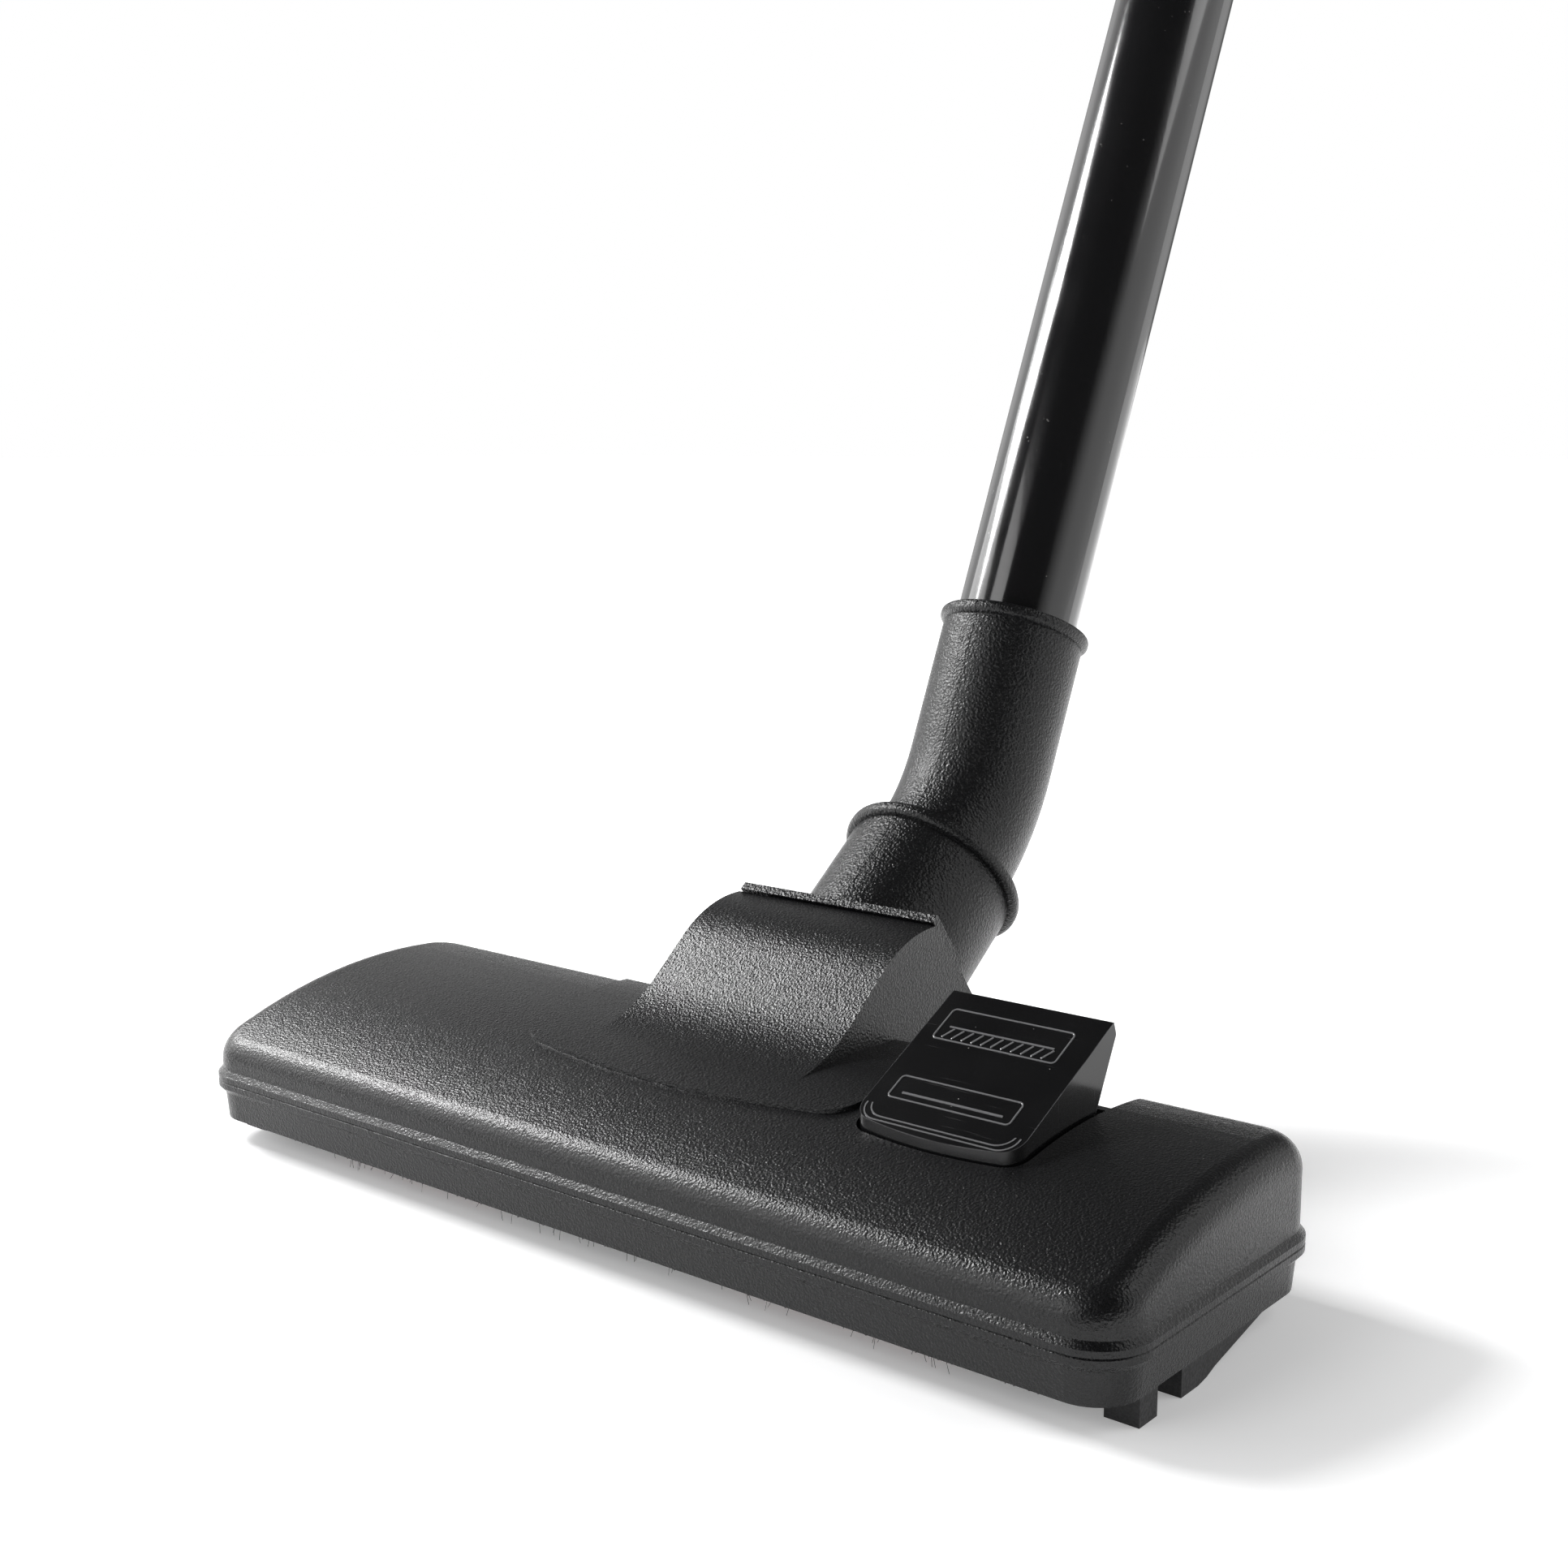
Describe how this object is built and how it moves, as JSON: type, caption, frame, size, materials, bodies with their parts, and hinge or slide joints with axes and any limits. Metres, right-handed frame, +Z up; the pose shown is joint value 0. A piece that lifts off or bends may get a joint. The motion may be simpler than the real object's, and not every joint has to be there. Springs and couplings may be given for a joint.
{
  "type": "vacuum cleaner floor head with wand",
  "caption": "Combination floor head of a canister vacuum cleaner with a foot pedal that drops the brush strips, a tilting neck, a swivelling elbow and the lower wand tube.",
  "frame": {"origin": "on the floor, in the middle of the rear runner's flat, on the head's left-right mid-plane", "axes": "+X along the head's long side towards the pedal, +Y backwards towards the wand, +Z up"},
  "size_m": [0.2906, 0.3785, 0.5443],
  "materials": {
    "body_plastic": "spark-eroded charcoal grain",
    "pedal_plastic": "gloss black with raised icons",
    "wand_lacquer": "gloss black lacquer on steel tube",
    "bearing_plastic": "plain satin",
    "bristle": "black nylon bristle",
    "lint": "red lint-pick pile",
    "felt": "dense felt",
    "steel": "plain steel",
    "tyre_rubber": "soft black rubber"
  },
  "bodies": {
    "head": {"top_cover": "body_plastic", "base_tray": "body_plastic", "sole_plate": "body_plastic", "neck_hood": "body_plastic", "air_duct": "body_plastic", "drum_cradle": "body_plastic", "lint_strip_front": "lint", "lint_strip_rear": "lint", "pivot_pins": "steel", "cover_screws": "steel", "pedal_axle": "steel", "pedal_spring": "steel", "wheel_axle_left": "steel", "wheel_axle_right": "steel"},
    "neck": {"neck_shell_left": "body_plastic", "neck_shell_right": "body_plastic", "swivel_ring": "bearing_plastic", "neck_seal": "felt"},
    "elbow": {"elbow_left": "body_plastic", "elbow_right": "body_plastic", "wand_tube": "wand_lacquer"},
    "pedal": {"pedal": "pedal_plastic"},
    "brush": {"brush_carrier": "bearing_plastic", "bristles_front": "bristle", "bristles_rear": "bristle"},
    "wheel_left": {"wheel_hub_left": "bearing_plastic", "wheel_tyre_left": "tyre_rubber"},
    "wheel_right": {"wheel_hub_right": "bearing_plastic", "wheel_tyre_right": "tyre_rubber"}
  },
  "joints": [
    {"name": "neck_tilt", "type": "hinge", "parent": "head", "child": "neck", "pos_m": [0, 0.065, 0.033], "axis": [-1, 0, 0], "range_deg": [0, 35]},
    {"name": "elbow_swivel", "type": "hinge", "parent": "neck", "child": "elbow", "pos_m": [0, 0.11044, 0.0707], "axis": [0, 0.7934, 0.6088], "continuous": true},
    {"name": "pedal_rock", "type": "hinge", "parent": "head", "child": "pedal", "pos_m": [0.079, 0.016, 0.032], "axis": [-1, 0, 0], "range_deg": [0, 21.5]},
    {"name": "brush_drop", "type": "slide", "parent": "head", "child": "brush", "axis": [0, 0, -1], "range_m": [0, 0.0048]},
    {"name": "wheel_left_spin", "type": "hinge", "parent": "head", "child": "wheel_left", "pos_m": [-0.062, 0.042, 0.009], "axis": [1, 0, 0], "continuous": true},
    {"name": "wheel_right_spin", "type": "hinge", "parent": "head", "child": "wheel_right", "pos_m": [0.062, 0.042, 0.009], "axis": [1, 0, 0], "continuous": true}
  ],
  "couplings": [
    {"joint": "brush_drop", "follows": "pedal_rock", "m_per_rad": 0.01279}
  ]
}
